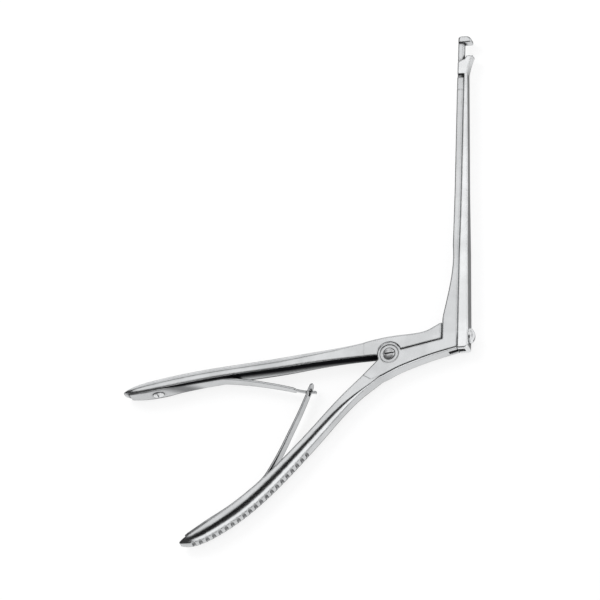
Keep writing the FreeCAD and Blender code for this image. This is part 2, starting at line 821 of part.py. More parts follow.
def make_slide():
    body = new_body("slide")
    pad(body, sketch(body, "XY_Plane", slide_outline()), "sizes.plate_thickness")
    cut_both_sides(body, side_cut(slim_steps(), HEAD_TOP + PAST))
    dress("Chamfer", body, "sizes.plate_bevel", on_slide_outline)
    collar_slot(body)
    fork_room(body)
    coupling_hole(body)
    guide_ribs(body)
    cutting_cup(body)
    return body


# Screws

def dome_middle(radius, height):
    """A point on a dome half way in from its rim: how far out, and how high above the rim."""
    ball = (radius**2 + height**2) / (2 * height)
    return radius / 2, math.sqrt(ball**2 - (radius / 2) ** 2) - ball + height


PIVOT_SLOT_TURN = 8  # degrees
DOG_CHAMFER = 0.2
DOG_PAST = 0.3  # the plain end reaches this far past the slide plane


def make_pivot_screw():
    body = new_body("pivot_screw")
    seat = HALF_PLATE - size("pivot_head_seat") + size("running_gap")
    shoulder = (size("running_gap") - size("lap_gap")) / 2
    rim = HALF_PLATE + size("pivot_rim")
    head = size("pivot_head_radius")
    out, up = dome_middle(head, size("pivot_dome"))
    shank = size("pivot_shoulder_radius")
    thread = size("pivot_thread_radius")
    profile = (
        Outline(0, -HALF_PLATE)
        .line(thread, -HALF_PLATE)
        .line(thread, shoulder)
        .line(shank, shoulder)
        .line(shank, seat)
        .line(head, seat)
        .line(head, rim)
        .arc((out, rim + up), (0, rim + size("pivot_dome")))
        .close()
    )
    revolve(body, sketch(body, "XZ_Plane", profile), "V_Axis")
    half = size("driver_slot") / 2
    slot = box_outline((-head - PAST, -half), (head + PAST, half))
    crown = rim + size("pivot_dome")
    top = Placement(Vector(0, 0, crown + PAST), Rotation(Vector(0, 0, 1), PIVOT_SLOT_TURN))
    pocket(body, sketch(body, "XY_Plane", slot, top), PAST + size("driver_depth"), False)
    return body


def make_coupling_screw():
    body = new_body("coupling_screw")
    seat = SLIDE_RIGHT
    head = size("coupling_head_radius")
    shank = size("coupling_shank_radius")
    dog = size("dog_radius")
    rim = seat + size("coupling_head_rim")
    tip = size("slide_plane") - DOG_PAST
    out, up = dome_middle(head, size("coupling_head_dome"))
    profile = (
        Outline(tip, 0)
        .line(tip, dog - DOG_CHAMFER)
        .line(tip + DOG_CHAMFER, dog)
        .line(FORK_ROOM_RIGHT, dog)
        .line(FORK_ROOM_RIGHT, shank)
        .line(seat, shank)
        .line(seat, head)
        .line(rim, head)
        .arc((rim + up, out), (rim + size("coupling_head_dome"), 0))
        .close()
    )
    centre = Placement(Vector(0, size("coupling_height"), 0), Rotation())
    revolve(body, sketch(body, "XY_Plane", profile, centre), "H_Axis")
    half = size("driver_slot") / 2
    top = rim + size("coupling_head_dome")
    slot = box_outline((top - size("driver_depth"), -half), (top + PAST, half))
    side = lifted(-size("coupling_height"))
    pocket(body, sketch(body, "XZ_Plane", slot, side), 2 * head + PAST)
    return body


def make_spring_screw(name, handle, x):
    """A slotted round-head screw that stands on the strip, its shank in the handle."""
    body = new_body(name)
    point = handle.point_at(x)
    inward = handle.normal(point)
    seat = 2 * size("spring_seat_gap") + size("spring_thickness")
    head = size("spring_screw_head")
    shank = size("spring_screw_radius")
    rim = seat + size("spring_screw_rim")
    top = rim + size("spring_screw_dome")
    out, up = dome_middle(head, size("spring_screw_dome"))
    profile = (
        Outline(0, -size("spring_screw_depth"))
        .line(shank, -size("spring_screw_depth"))
        .line(shank, seat)
        .line(head, seat)
        .line(head, rim)
        .arc((out, rim + up), (0, top))
        .close()
    )
    outward = (-inward[0], -inward[1])
    side = Vector(-outward[1], outward[0], 0)
    turn = Rotation(side, Vector(*outward, 0), Vector(0, 0, 0), "XYZ")
    revolve(body, sketch(body, "XY_Plane", profile, Placement(Vector(*point, 0), turn)), "V_Axis")
    plane = across(plus(point, outward, top + PAST), outward)
    half = size("driver_slot") / 2
    slot = box_outline((-half, -head - PAST), (half, head + PAST))
    pocket(body, sketch(body, "XY_Plane", slot, plane), PAST + size("small_driver_depth"), False)
    return body


# Springs: each strip is one piece of steel, drawn as a clamped part and a free leaf

FRONT_START_X = -109.5
FRONT_SCREW_X = -98.0
FRONT_FLEX_X = -69.0
FRONT_LEAF_PATH = [(-66.0, -5.85), (-58.0, -7.25), (-47.5, -9.75), (-39.5, -12.0)]
HOOK_TONGUE_PATH = [(-35.5, -13.0), (-31.2, -13.5)]
REAR_START_X = -84.5
REAR_SCREW_X = -75.5
REAR_FLEX_X = -52.0
REAR_LEAF_PATH = [
    (-48.3, -44.6), (-45.2, -38.6), (-41.8, -31.2), (-38.1, -23.0), (-35.1, -15.6), (-32.9, -9.6),
]
EYE_CENTRE_Y = -13.3
FOOT_STEPS = 8


def flex_point(handle, x):
    point = handle.point_at(x)
    middle = size("spring_seat_gap") + size("spring_thickness") / 2
    return plus(point, handle.normal(point), -middle)


def narrow(body, plane, points, depth):
    """Take the metal outside a half width off both sides of a leaf. Points are (run, half width)."""
    outside = size("spring_foot_width") + PAST
    shape = [(points[0][0], outside)] + points + [(points[-1][0], outside)]
    pocket(body, sketch(body, plane, polygon(shape) + polygon(mirrored(shape))), depth)


# Distances past the screw, and the share of the foot's extra width that is left there
FOOT_WAIST = [(3.0, 1.0), (10.0, 0.3), (20.0, 0.0)]


def foot_widths(handle, start_x, screw_x, axis):
    """(run, half width): the handle's own plan as far as the screw, then a waist."""
    slim = size("spring_width") / 2
    points = []
    for index in range(FOOT_STEPS + 1):
        x = start_x + (screw_x - start_x) * index / FOOT_STEPS
        points.append((handle.point_at(x)[axis], handle.half_width(x) - size("foot_margin")))
    extra = points[-1][1] - slim
    for past, share in FOOT_WAIST:
        points.append((handle.point_at(screw_x + past)[axis], slim + extra * share))
    return [(points[0][0] - PAST, points[0][1])] + points + [(points[-1][0] + 3 * PAST, slim)]


def make_spring_foot(name, handle, start_x, flex_x, screw_x, plane, axis):
    """The clamped part: follows the handle's inner face and ends in a hollow round."""
    body = new_body(name)
    near = size("spring_seat_gap")
    far = near + size("spring_thickness")
    against = handle.offset_run(start_x, flex_x, near, FOOT_STEPS)
    free = handle.offset_run(start_x, flex_x, far, FOOT_STEPS)
    edges = Outline(*against[0]).curve(*against[1:]).line(*free[-1]).curve(*free[-2::-1]).close()
    pad(body, sketch(body, "XY_Plane", edges), "sizes.spring_foot_width")
    narrow(body, plane, foot_widths(handle, start_x, screw_x, axis), 4 * THROUGH)
    knuckle = size("spring_thickness") / 2 + size("flex_gap")
    hollow = circle(*flex_point(handle, flex_x), knuckle)
    pocket(body, sketch(body, "XY_Plane", hollow), "2 * sizes.spring_width")
    point = handle.point_at(screw_x)
    inward = handle.normal(point)
    hole = circle(0, 0, size("spring_screw_radius") + size("spring_screw_gap"))
    hole_plane = across(plus(point, inward, -PAST), inward)
    pocket(body, sketch(body, "XY_Plane", hole, hole_plane), 2 * PAST, False, True)
    return body


def strip_outline(path, thicknesses, root_radius):
    """Both faces of a strip along a path, with a round root and a square tip."""
    line = Part.BSplineCurve()
    line.interpolate([Vector(*point, 0) for point in path])
    upper, lower = [], []
    for point, thickness in zip(path, thicknesses):
        tangent = line.tangent(line.parameter(Vector(*point, 0)))[0]
        side = (-tangent.y, tangent.x)
        upper.append(plus(point, side, thickness / 2))
        lower.append(plus(point, side, -thickness / 2))
    tangent = line.tangent(line.FirstParameter)[0]
    back = plus(path[0], (tangent.x, tangent.y), -root_radius)
    shape = Outline(*lower[0]).curve(*lower[1:]).line(*upper[-1])
    return shape.curve(*upper[-2::-1]).arc(back, lower[0]).close()


def make_front_leaf():
    body = new_body("front_spring_leaf")
    thick = size("spring_thickness")
    thin = size("hook_tongue_thickness")
    path = [flex_point(FRONT_HANDLE, FRONT_FLEX_X)] + FRONT_LEAF_PATH + HOOK_TONGUE_PATH
    levels = [thick] * (len(path) - 2) + [thin] * 2
    pad(body, sketch(body, "XY_Plane", strip_outline(path, levels, thick / 2)), "sizes.spring_width")
    root = size("spring_width") / 2
    tip = size("spring_tip_width") / 2
    tongue = size("hook_tongue_width") / 2
    shoulder_x = FRONT_LEAF_PATH[-1][0]
    slope = tip - tongue
    points = [
        (path[0][0] - PAST, root),
        (path[1][0], root),
        (shoulder_x - slope, tip),
        (shoulder_x, tongue + slope / 2),
        (shoulder_x + slope / 2, tongue),
        (path[-1][0] + PAST, tongue),
    ]
    narrow(body, "XZ_Plane", points, THROUGH)
    return body


def make_rear_leaf():
    body = new_body("rear_spring_leaf")
    thick = size("spring_thickness")
    path = [flex_point(REAR_HANDLE, REAR_FLEX_X)] + REAR_LEAF_PATH
    pad(body, sketch(body, "XY_Plane", strip_outline(path, [thick] * len(path), thick / 2)),
        "sizes.spring_width")
    root = size("spring_width") / 2
    tip = size("spring_tip_width") / 2
    top = path[-1][1]
    points = [
        (path[0][1] - PAST, root),
        (path[1][1], root),
        (top - tip, tip),
        (top - tip * (1 - math.cos(math.pi / 4)), tip * math.sin(math.pi / 4)),
        (top + thick, tip / 3),
    ]
    narrow(body, "YZ_Plane", points, 2 * THROUGH)
    low = (EYE_CENTRE_Y - size("eye_length") / 2, -size("eye_width") / 2)
    high = (EYE_CENTRE_Y + size("eye_length") / 2, size("eye_width") / 2)
    pocket(body, sketch(body, "YZ_Plane", box_outline(low, high)), 2 * THROUGH)
    return body


PARTS = [
    make_frame(),
    make_lever(),
    make_slide(),
    make_pivot_screw(),
    make_coupling_screw(),
    make_spring_foot(
        "front_spring_foot", FRONT_HANDLE, FRONT_START_X, FRONT_FLEX_X, FRONT_SCREW_X, "XZ_Plane", 0
    ),
    make_front_leaf(),
    make_spring_screw("front_spring_screw", FRONT_HANDLE, FRONT_SCREW_X),
    make_spring_foot(
        "rear_spring_foot", REAR_HANDLE, REAR_START_X, REAR_FLEX_X, REAR_SCREW_X, "YZ_Plane", 1
    ),
    make_rear_leaf(),
    make_spring_screw("rear_spring_screw", REAR_HANDLE, REAR_SCREW_X),
]


# Checks and export

def check(objects):
    doc.recompute()
    for item in objects:
        if "Invalid" in item.State or "Error" in item.State:
            raise RuntimeError(f"{item.Label} is {item.State}")
    for part in PARTS:
        shape = part.Shape
        if shape.isNull() or not shape.isValid() or len(shape.Solids) != 1:
            raise RuntimeError(f"{part.Label}: {len(shape.Solids)} solids, valid {shape.isValid()}")


check(doc.Objects)
os.makedirs("parts", exist_ok=True)
for part in PARTS:
    part.Shape.exportStep(f"parts/{part.Label}.step")
    box = part.Shape.BoundBox
    print(f"{part.Label}: {part.Shape.Volume:.1f} mm3, X {box.XMin:.1f} {box.XMax:.1f},"
          f" Y {box.YMin:.1f} {box.YMax:.1f}, Z {box.ZMin:.1f} {box.ZMax:.1f}")
front = flex_point(FRONT_HANDLE, FRONT_FLEX_X)
rear = flex_point(REAR_HANDLE, REAR_FLEX_X)
print(f"travel {TRAVEL:.3f} mm, lever {math.degrees(STROKE):.3f} degrees")
print(f"front flex at {front[0]:.3f} {front[1]:.3f}, rear flex at {rear[0]:.3f} {rear[1]:.3f}")
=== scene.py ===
# %% [markdown]
# # Bone punch, dressed for its picture
# The punch is a long straight shaft set at an angle to two sprung handles. CAD has made every
# piece at its real size. This lesson loads those pieces, gives the steel its finishes, bends the
# two leaf springs as whole strips, and sets up a pale table, soft light and the camera.

# %% Load the CAD model
import math

import bmesh
import bpy
from mathutils import Matrix, Vector
from mathutils.bvhtree import BVHTree


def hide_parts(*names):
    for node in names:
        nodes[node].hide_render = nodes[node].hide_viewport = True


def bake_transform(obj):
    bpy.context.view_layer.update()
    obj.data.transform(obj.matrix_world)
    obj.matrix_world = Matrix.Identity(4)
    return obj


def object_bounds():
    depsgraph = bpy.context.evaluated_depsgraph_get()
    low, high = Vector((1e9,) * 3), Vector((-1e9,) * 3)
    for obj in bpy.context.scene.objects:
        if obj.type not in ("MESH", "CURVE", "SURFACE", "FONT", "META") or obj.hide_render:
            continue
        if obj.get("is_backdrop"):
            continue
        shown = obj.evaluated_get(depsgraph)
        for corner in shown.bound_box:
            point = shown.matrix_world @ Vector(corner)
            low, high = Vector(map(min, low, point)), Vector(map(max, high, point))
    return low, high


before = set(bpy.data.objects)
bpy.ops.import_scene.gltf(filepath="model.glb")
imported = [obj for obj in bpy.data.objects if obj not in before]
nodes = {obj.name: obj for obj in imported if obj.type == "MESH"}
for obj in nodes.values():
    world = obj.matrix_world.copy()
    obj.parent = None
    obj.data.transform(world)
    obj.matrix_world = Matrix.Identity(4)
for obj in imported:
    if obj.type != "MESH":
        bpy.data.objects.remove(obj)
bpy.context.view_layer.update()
MM = 0.001

# %% [markdown]
# A shader is a small sum: masks are added, multiplied and used to mix colours. Wiring each Math
# node by hand would take five lines, so a small class holds one socket and turns +, -, * into
# Math nodes. The reflected forms let a plain number stand on the left, as in 1 - mask. A second
# class adds any other node in one call: its type, its settings, then its inputs.

# %% A socket that can do arithmetic
class Flow:
    """One value on its way through a shader."""

    def __init__(self, shader, socket):
        self.shader = shader
        self.socket = socket

    def maths(self, operation, left, right):
        made = self.shader.node("ShaderNodeMath", {"operation": operation}, {0: left, 1: right})
        return made["Value"]

    def __add__(self, other):
        return self.maths("ADD", self, other)

    def __radd__(self, other):
        return self.maths("ADD", other, self)

    def __sub__(self, other):
        return self.maths("SUBTRACT", self, other)

    def __rsub__(self, other):
        return self.maths("SUBTRACT", other, self)

    def __mul__(self, other):
        return self.maths("MULTIPLY", self, other)

    def __rmul__(self, other):
        return self.maths("MULTIPLY", other, self)

    def fade(self, low, high):
        """0 below low, 1 above high, and a smooth rise between them."""
        settings = {"interpolation_type": "SMOOTHSTEP"}
        made = self.shader.node(
            "ShaderNodeMapRange", settings, {"Value": self, "From Min": low, "From Max": high}
        )
        return made["Result"]


class Made:
    """A node's outputs, each handed out as a Flow."""

    def __init__(self, shader, node):
        self.shader = shader
        self.node = node

    def __getitem__(self, name):
        return Flow(self.shader, self.node.outputs[name])


class Shader:
    """A node tree that is filled by plain calls."""

    def __init__(self, tree):
        self.tree = tree
        tree.nodes.clear()

    def node(self, kind, settings=None, inputs=None):
        made = self.tree.nodes.new(kind)
        for name, value in (settings or {}).items():
            setattr(made, name, value)
        for name, value in (inputs or {}).items():
            self.feed(made.inputs[name], value)
        return Made(self, made)

    def feed(self, socket, value):
        if isinstance(value, Flow):
            self.tree.links.new(value.socket, socket)
        else:
            socket.default_value = value

    def mix(self, factor, first, second):
        """A colour between two others. Sockets 6 and 7 are the Mix node's colours."""
        settings = {"data_type": "RGBA"}
        return self.node("ShaderNodeMix", settings, {0: factor, 6: first, 7: second})[2]

    def noise(self, place, scale, detail=3.0):
        inputs = {"Vector": place, "Scale": scale, "Detail": detail}
        return self.node("ShaderNodeTexNoise", {}, inputs)["Fac"]

    def place(self):
        """Object coordinates in metres, which stay on the metal when a piece moves."""
        return self.node("ShaderNodeTexCoord")["Object"]

    def apart(self, vector):
        """A vector's X, Y and Z, each by its name."""
        return self.node("ShaderNodeSeparateXYZ", {}, {"Vector": vector})

    def dot(self, first, second):
        """How far two directions agree: 1 when they are the same."""
        settings = {"operation": "DOT_PRODUCT"}
        return self.node("ShaderNodeVectorMath", settings, {0: first, 1: second})["Value"]

    def finish(self, kind, surface):
        self.node(kind, {}, {"Surface": surface})


print("helpers for shaders are ready")

# %% [markdown]
# Surgical steel is not mirror bright. Its flats are brushed along the work, so fine lines run one
# way and the reflection is drawn out across them. An image of scratches could be wrapped round
# each piece, but it would need unwrapping and would blur close up. Noise on object coordinates
# needs neither: squeezed along the grain, its blobs become lines.

# %% Brushed lines
GRAIN = (250, 9000)
SCRATCHES = (60, 3500)
SCRATCH_EDGE = (0.68, 0.74)


def stretched(shader, angle, along, across):
    """Object coordinates turned to the grain, then scaled per metre along and across it."""
    turned = shader.node(
        "ShaderNodeMapping", {}, {"Vector": shader.place(), "Rotation": (0, 0, -angle)}
    )["Vector"]
    return shader.node(
        "ShaderNodeMapping", {}, {"Vector": turned, "Scale": (along, across, across)}
    )["Vector"]


def grain(shader, angle):
    """Fine brushing: about 0.1 mm across the grain and 4 mm along it."""
    return shader.noise(stretched(shader, angle, *GRAIN), 1.0, 2.0)


def scratches(shader, angle):
    """A few longer, thinner marks from handling."""
    marks = shader.noise(stretched(shader, angle, *SCRATCHES), 1.0, 1.0)
    return marks.fade(*SCRATCH_EDGE)


print(f"grain: {1000 / GRAIN[1]:.1f} mm wide, {1000 / GRAIN[0]:.0f} mm long")

# %% [markdown]
# The steel itself is a Principled surface with Metallic 1. The tone drifts slowly, as hand
# polishing leaves it. Ambient occlusion asks how much open sky a point sees within a short reach,
# which finds the bottoms of the grip grooves and the screw slots; there the colour is painted near
# black, a painted shade. A Bevel node averages the normals near an edge. That rounds each edge in
# the light without adding a face, and comparing the two normals gives a painted highlight: the
# colour is lighter along each edge. The painted shade, and the stain of the front spring, are no
# metal: they lower Metallic, and the shine of what isn't metal is set to nothing, so they stay a
# flat black.

# %% The steel finish
HOLLOW_REACH = 1.6 * MM
# The near black of the painted shade in hollows and on the handles' inner faces, and of the front
# spring's stain.
SHADE_AND_STAIN_BLACK = (0.012, 0.012, 0.014, 1.0)
HOLLOW_SHADE_SHARE = 0.95
SHAFT_FOOT = 4 * MM
SHAFT_TOP = 120 * MM
SHAFT_FADE = 4 * MM
# How much of the painted shade the long seam along the shaft is spared.
SHAFT_SHADE_CUT = 0.8
DARKER = 0.90
BRIGHTER = 1.06


def shaft(shader):
    """A mask for the length of the shaft, where the long seam gets less painted shade."""
    height = shader.apart(shader.place())["Y"]
    from_foot = height.fade(SHAFT_FOOT, SHAFT_FOOT + SHAFT_FADE)
    return from_foot * (1 - height.fade(SHAFT_TOP - SHAFT_FADE, SHAFT_TOP))


def hollow_shade(shader, open_sky):
    """Where shade is painted: in hollows that see less sky than the two shares in open_sky."""
    seen = shader.node(
        "ShaderNodeAmbientOcclusion", {"samples": 8}, {"Distance": HOLLOW_REACH}
    )["AO"].fade(*open_sky)
    return (1 - seen) * (HOLLOW_SHADE_SHARE - shaft(shader) * SHAFT_SHADE_CUT * HOLLOW_SHADE_SHARE)


def steel(name, tone, roughness, brushing, edge=0.9, open_sky=(0.68, 0.98), scale=None):
    """A steel finish. The brushing gives its grain and scratches, edge the width in mm over which an
    edge looks rounded and gets a painted highlight, and scale is a mask that darkens more: painted
    shade on the handles' inner faces, a stain on the front spring."""
    material = bpy.data.materials.new(name)
    material.use_nodes = True
    shader = Shader(material.node_tree)
    lines, marks = brushing(shader)
    drift = shader.noise(shader.place(), 90.0)
    bloom = shader.noise(shader.place(), 900.0)

    rounded = shader.node("ShaderNodeBevel", {"samples": 8}, {"Radius": edge * MM})["Normal"]
    sharp = shader.node("ShaderNodeNewGeometry")["Normal"]
    # Painted highlight: the colour turns lighter along each edge.
    edge_highlight = 1 - shader.dot(rounded, sharp).fade(0.86, 0.995)

    # Painted shade in hollows, plus the last argument's mask: painted shade on the handles' inner
    # faces, a stain on the front spring.
    shade_and_stain = hollow_shade(shader, open_sky)
    if scale:
        shade_and_stain = 1 - (1 - shade_and_stain) * (1 - scale(shader))
    dark = [channel * DARKER for channel in tone] + [1.0]
    bright = [min(1.0, channel * BRIGHTER) for channel in tone] + [1.0]
    metal = shader.mix(drift.fade(0.3, 0.7), dark, bright)
    metal = shader.mix(lines.fade(0.3, 0.7) * 0.18, metal, dark)
    # The painted highlight along the edges.
    metal = shader.mix(edge_highlight * 0.5, metal, bright)
    # The painted shade and the stain turn the colour near black.
    metal = shader.mix(shade_and_stain, metal, SHADE_AND_STAIN_BLACK)

    rough = roughness + (lines - 0.5) * 0.08 + (bloom - 0.5) * 0.04 - edge_highlight * 0.04 + marks * 0.05
    depth = lines + marks * -0.6
    relief = {"Strength": 0.15, "Distance": 0.003 * MM, "Height": depth, "Normal": rounded}
    inputs = {
        "Base Color": metal,
        "Metallic": 1 - shade_and_stain,
        "Roughness": rough,
        "Normal": shader.node("ShaderNodeBump", {}, relief)["Normal"],
        "Specular IOR Level": 0.0,
    }
    surface = shader.node("ShaderNodeBsdfPrincipled", {}, inputs)["BSDF"]
    shader.finish("ShaderNodeOutputMaterial", surface)
    print(f"{name}: tone {tone[1]:.2f}, roughness about {roughness:.2f}")
    return material


# %% [markdown]
# The frame is one forging, but it was brushed in two directions: up the shaft and along the rear
# handle. A mask on height picks between them. The lever has one direction, along its handle.
# The inner faces of the handles get painted shade, darkest at their near edge. Its mask asks which
# way the surface faces, and thins out towards the far edge and the springs.

# %% Finishes for the forgings
UP_THE_SHAFT = math.radians(90)
REAR_HANDLE = math.radians(43)
FRONT_HANDLE = math.radians(5)
FORGED_TONE = (0.66, 0.67, 0.68)
GROUND_TONE = (0.84, 0.85, 0.86)
SATIN = 0.19


def frame_brushing(shader):
    upper = shader.apart(shader.place())["Y"].fade(-4 * MM, 8 * MM)
    lines = grain(shader, UP_THE_SHAFT) * upper + grain(shader, REAR_HANDLE) * (1 - upper)
    return lines, scratches(shader, REAR_HANDLE)


def lever_brushing(shader):
    return grain(shader, FRONT_HANDLE), scratches(shader, FRONT_HANDLE + 0.2)


def slide_brushing(shader):
    return grain(shader, UP_THE_SHAFT), scratches(shader, UP_THE_SHAFT - 0.1)


def inner_face_shade(out, reach):
    """A mask of painted shade for a handle's inner face, which faces the way of out. The shade is
    full at the near edge and thins out towards the far one. It fades out just at the far edge where
    the pivot is reach mm away, and nearer the pivot it goes further down."""
    def mask(shader):
        place = shader.node("ShaderNodeTexCoord")
        facing = shader.dot(place["Normal"], out).fade(0.90, 0.97)
        apart = shader.apart(place["Object"])
        level = apart["Z"] + (apart["X"] + reach * MM) * 0.06
        patches = shader.noise(place["Object"], 260.0).fade(0.0, 0.25)
        return facing * level.fade(-0.5 * MM, 5.5 * MM) * patches
    return mask


# Painted shade on the inner faces of the front and the rear handle.
FRONT_INNER_SHADE = inner_face_shade((0.05, -1.0, 0.0), 62.0)
REAR_INNER_SHADE = inner_face_shade((-0.71, 0.70, 0.0), 60.0)
frame_steel = steel("frame_satin_steel", FORGED_TONE, SATIN, frame_brushing, scale=REAR_INNER_SHADE)
lever_steel = steel(
    "lever_satin_steel", FORGED_TONE, SATIN, lever_brushing, open_sky=(0.82, 0.99), scale=FRONT_INNER_SHADE
)
slide_steel = steel("slide_ground_steel", GROUND_TONE, SATIN, slide_brushing, edge=0.6)

# %% [markdown]
# Screws are turned on a lathe and blasted, so their heads are brighter and softer than the plates,
# and have no grain in one direction. Spring strip is rolled and tempered: its grain runs along the
# strip, it is a shade darker, and the front one keeps a soft heat stain where it starts to bend.

# %% Finishes for screws and springs
SCREW_TONE = (0.90, 0.91, 0.92)
SPRING_TONE = (0.62, 0.63, 0.64)
SPRING_SHINE = 0.24
SPRING_EDGE = 0.12


def turned_brushing(shader):
    fine = shader.noise(shader.place(), 5000.0, 1.0)
    return fine, shader.noise(shader.place(), 2500.0).fade(0.7, 0.76)


def spring_brushing(angle):
    def brushing(shader):
        return grain(shader, angle), scratches(shader, angle)
    return brushing


def stain(shader):
    """A soft band across the front spring, slanted because it follows the heat."""
    apart = shader.apart(shader.place())
    along = apart["X"] + apart["Z"] * 0.9
    return along.fade(-92 * MM, -85 * MM) * (1 - along.fade(-83 * MM, -76 * MM)) * 0.55


screw_steel = steel("screw_polished_steel", SCREW_TONE, 0.38, turned_brushing, 0.1, (0.25, 0.75))
front_spring_steel = steel(
    "front_spring_steel", SPRING_TONE, SPRING_SHINE, spring_brushing(math.radians(-12)),
    SPRING_EDGE, scale=stain,
)
rear_spring_steel = steel(
    "rear_spring_steel", SPRING_TONE, SPRING_SHINE, spring_brushing(math.radians(64)), SPRING_EDGE
)

# %% [markdown]
# The CAD pieces are right in shape already, so they only change their finish. Setting it on the
# material slot leaves their meshes as they were loaded.

# %% Put the finishes on the CAD pieces
FINISHES = {
    "frame": frame_steel,
    "lever": lever_steel,
    "slide": slide_steel,
    "pivot_screw": screw_steel,
    "coupling_screw": screw_steel,
    "front_spring_screw": screw_steel,
    "rear_spring_screw": screw_steel,
    "front_spring_foot": front_spring_steel,
    "front_spring_leaf": front_spring_steel,
    "rear_spring_foot": rear_spring_steel,
    "rear_spring_leaf": rear_spring_steel,
}
for name, finish in FINISHES.items():
    for material_slot in nodes[name].material_slots:
        material_slot.material = finish
print("finished CAD pieces:", len(FINISHES))

# %% [markdown]
# Each spring is one strip of steel, screwed down at the end of its handle and free at the other
# end. CAD needs two solids for it, so that MuJoCo can bend it at a hinge. Here it is whole again.
# A curve with a bevel could make it, but the strip is much wider than it is thick and changes its
# width, so it is a flat sheet of faces that follows a path. Solidify gives it its thickness and
# Bevel softens its edges.

# %% A strip that follows a path
STEPS = 8
STRIP_THICKNESS = 0.8
STRIP_EDGE = 0.1
PLATE_MIDDLE = 3.25


def smooth_run(points):
    """Points on a smooth curve through the given ones, STEPS of them from each to the next."""
    run = []
    padded = [points[0] * 2 - points[1]] + points + [points[-1] * 2 - points[-2]]
    for before, start, end, after in zip(padded, padded[1:], padded[2:], padded[3:]):
        for index in range(STEPS):
            t = index / STEPS
            run.append(0.5 * (
                2 * start + (end - before) * t
                + (2 * before - 5 * start + 4 * end - after) * t**2
                + (3 * start - before - 3 * end + after) * t**3
            ))
    return run + [points[-1]]


def even_run(values):
    """Values that change evenly from each given one to the next, in as many steps."""
    run = []
    for start, end in zip(values, values[1:]):
        run += [start + (end - start) * index / STEPS for index in range(STEPS)]
    return run + [values[-1]]


def sheet(name, path, columns, eye):
    """A flat sheet of faces along a path, left open inside the eye."""
    places = smooth_run([Vector((x, y)) for x, y, _ in path])
    halves = even_run([half for _, _, half in path])
    mesh = bmesh.new()
    rows = []
    for place, half in zip(places, halves):
        rows.append([
            mesh.verts.new((place.x * MM, place.y * MM, (PLATE_MIDDLE + half * column) * MM))
            for column in columns
        ])
    middle = len(columns) // 2
    for row, following in zip(rows, rows[1:]):
        at = (row[0].co.y + following[0].co.y) / 2 / MM
        for column in range(len(columns) - 1):
            if eye and eye[0] < at < eye[1] and column in (middle - 1, middle):
                continue
            mesh.faces.new((row[column], row[column + 1], following[column + 1], following[column]))
    data = bpy.data.meshes.new(name)
    mesh.to_mesh(data)
    mesh.free()
    return data


def strip(name, finish, path, columns, eye=None):
    """A bent strip. Its path gives x, y and half width, its columns the shares of the half width
    at which it has points, and its eye the two values of Y between which it has a slot."""
    piece = bpy.data.objects.new(name, sheet(name, path, columns, eye))
    bpy.context.scene.collection.objects.link(piece)
    thick = piece.modifiers.new("thickness", "SOLIDIFY")
    thick.thickness = STRIP_THICKNESS * MM
    thick.offset = 0
    soften = piece.modifiers.new("edges", "BEVEL")
    soften.width = STRIP_EDGE * MM
    soften.segments = 2
    soften.limit_method = "ANGLE"
    soften.angle_limit = math.radians(40)
    soften.harden_normals = True
    finished = bpy.data.meshes.new_from_object(
        piece.evaluated_get(bpy.context.evaluated_depsgraph_get())
    )
    piece.modifiers.clear()
    piece.data = finished
    for face in finished.polygons:
        face.use_smooth = True
    finished.materials.clear()
    finished.materials.append(finish)
    print(f"{name}: {len(finished.polygons)} faces")
    return piece


# %% [markdown]
# The clamped end of each strip lies flat along its handle. Its CAD foot already follows that
# handle, so the path is measured there and not written out again: at a few values of X, rays
# from both sides meet the foot's two faces, and the middle of the strip is halfway. The rays
# pass beside the screw's bore. A third ray meets the edge, which gives the width.

# %% Measure a foot on its CAD piece
RAY_START = 200
BESIDE_THE_BORE = 2.4


def foot_path(node, stations):
    """x, y and half width of a CAD foot in mm, at the values of x in stations."""
    mesh = nodes[node].data
    places = [vertex.co / MM for vertex in mesh.vertices]
    foot = BVHTree.FromPolygons(places, [tuple(face.vertices) for face in mesh.polygons])
    level = PLATE_MIDDLE + BESIDE_THE_BORE
    path = []
    for x in stations:
        above = foot.ray_cast(Vector((x, RAY_START, level)), Vector((0, -1, 0)))[0]
        below = foot.ray_cast(Vector((x, -RAY_START, level)), Vector((0, 1, 0)))[0]
        y = (above.y + below.y) / 2
        edge = foot.ray_cast(Vector((x, y, RAY_START)), Vector((0, 0, -1)))[0]
        path.append((x, y, edge.z - PLATE_MIDDLE))
    widest = 2 * max(half for _, _, half in path)
    print(f"{node}: measured at {len(path)} places, {widest:.1f} mm at its widest")
    return path


# %% [markdown]
# The front spring lies along the front handle, then leaves it in a gentle bow. Near its end it
# steps down to a narrow tongue, which goes through the eye of the rear spring.

# %% The front spring
FRONT_END = (-109.54, -9.27, 2.66)
FRONT_STATIONS = (-108, -106, -103.5, -101, -98, -95, -91.5, -88, -83, -78, -73.5)
FRONT_LEAF = [
    (-70.2, -5.36, 2.80), (-66.0, -5.85, 2.80), (-58.0, -7.25, 2.62), (-47.5, -9.75, 2.32),
    (-40.8, -11.62, 2.10), (-40.1, -11.82, 1.45), (-39.5, -12.0, 0.90), (-38.9, -12.15, 0.80),
    (-35.5, -13.0, 0.80), (-31.2, -13.5, 0.80),
]
front_path = [FRONT_END] + foot_path("front_spring_foot", FRONT_STATIONS) + FRONT_LEAF
front_spring = strip("front_spring", front_spring_steel, front_path, (-1, -0.5, 0, 0.5, 1))
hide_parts("front_spring_foot", "front_spring_leaf")
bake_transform(front_spring)

# %% [markdown]
# The rear spring is made the same way. Its end is rounded and has a slot, the eye, for the
# tongue. Leaving out the middle faces before Solidify gives the slot real walls.

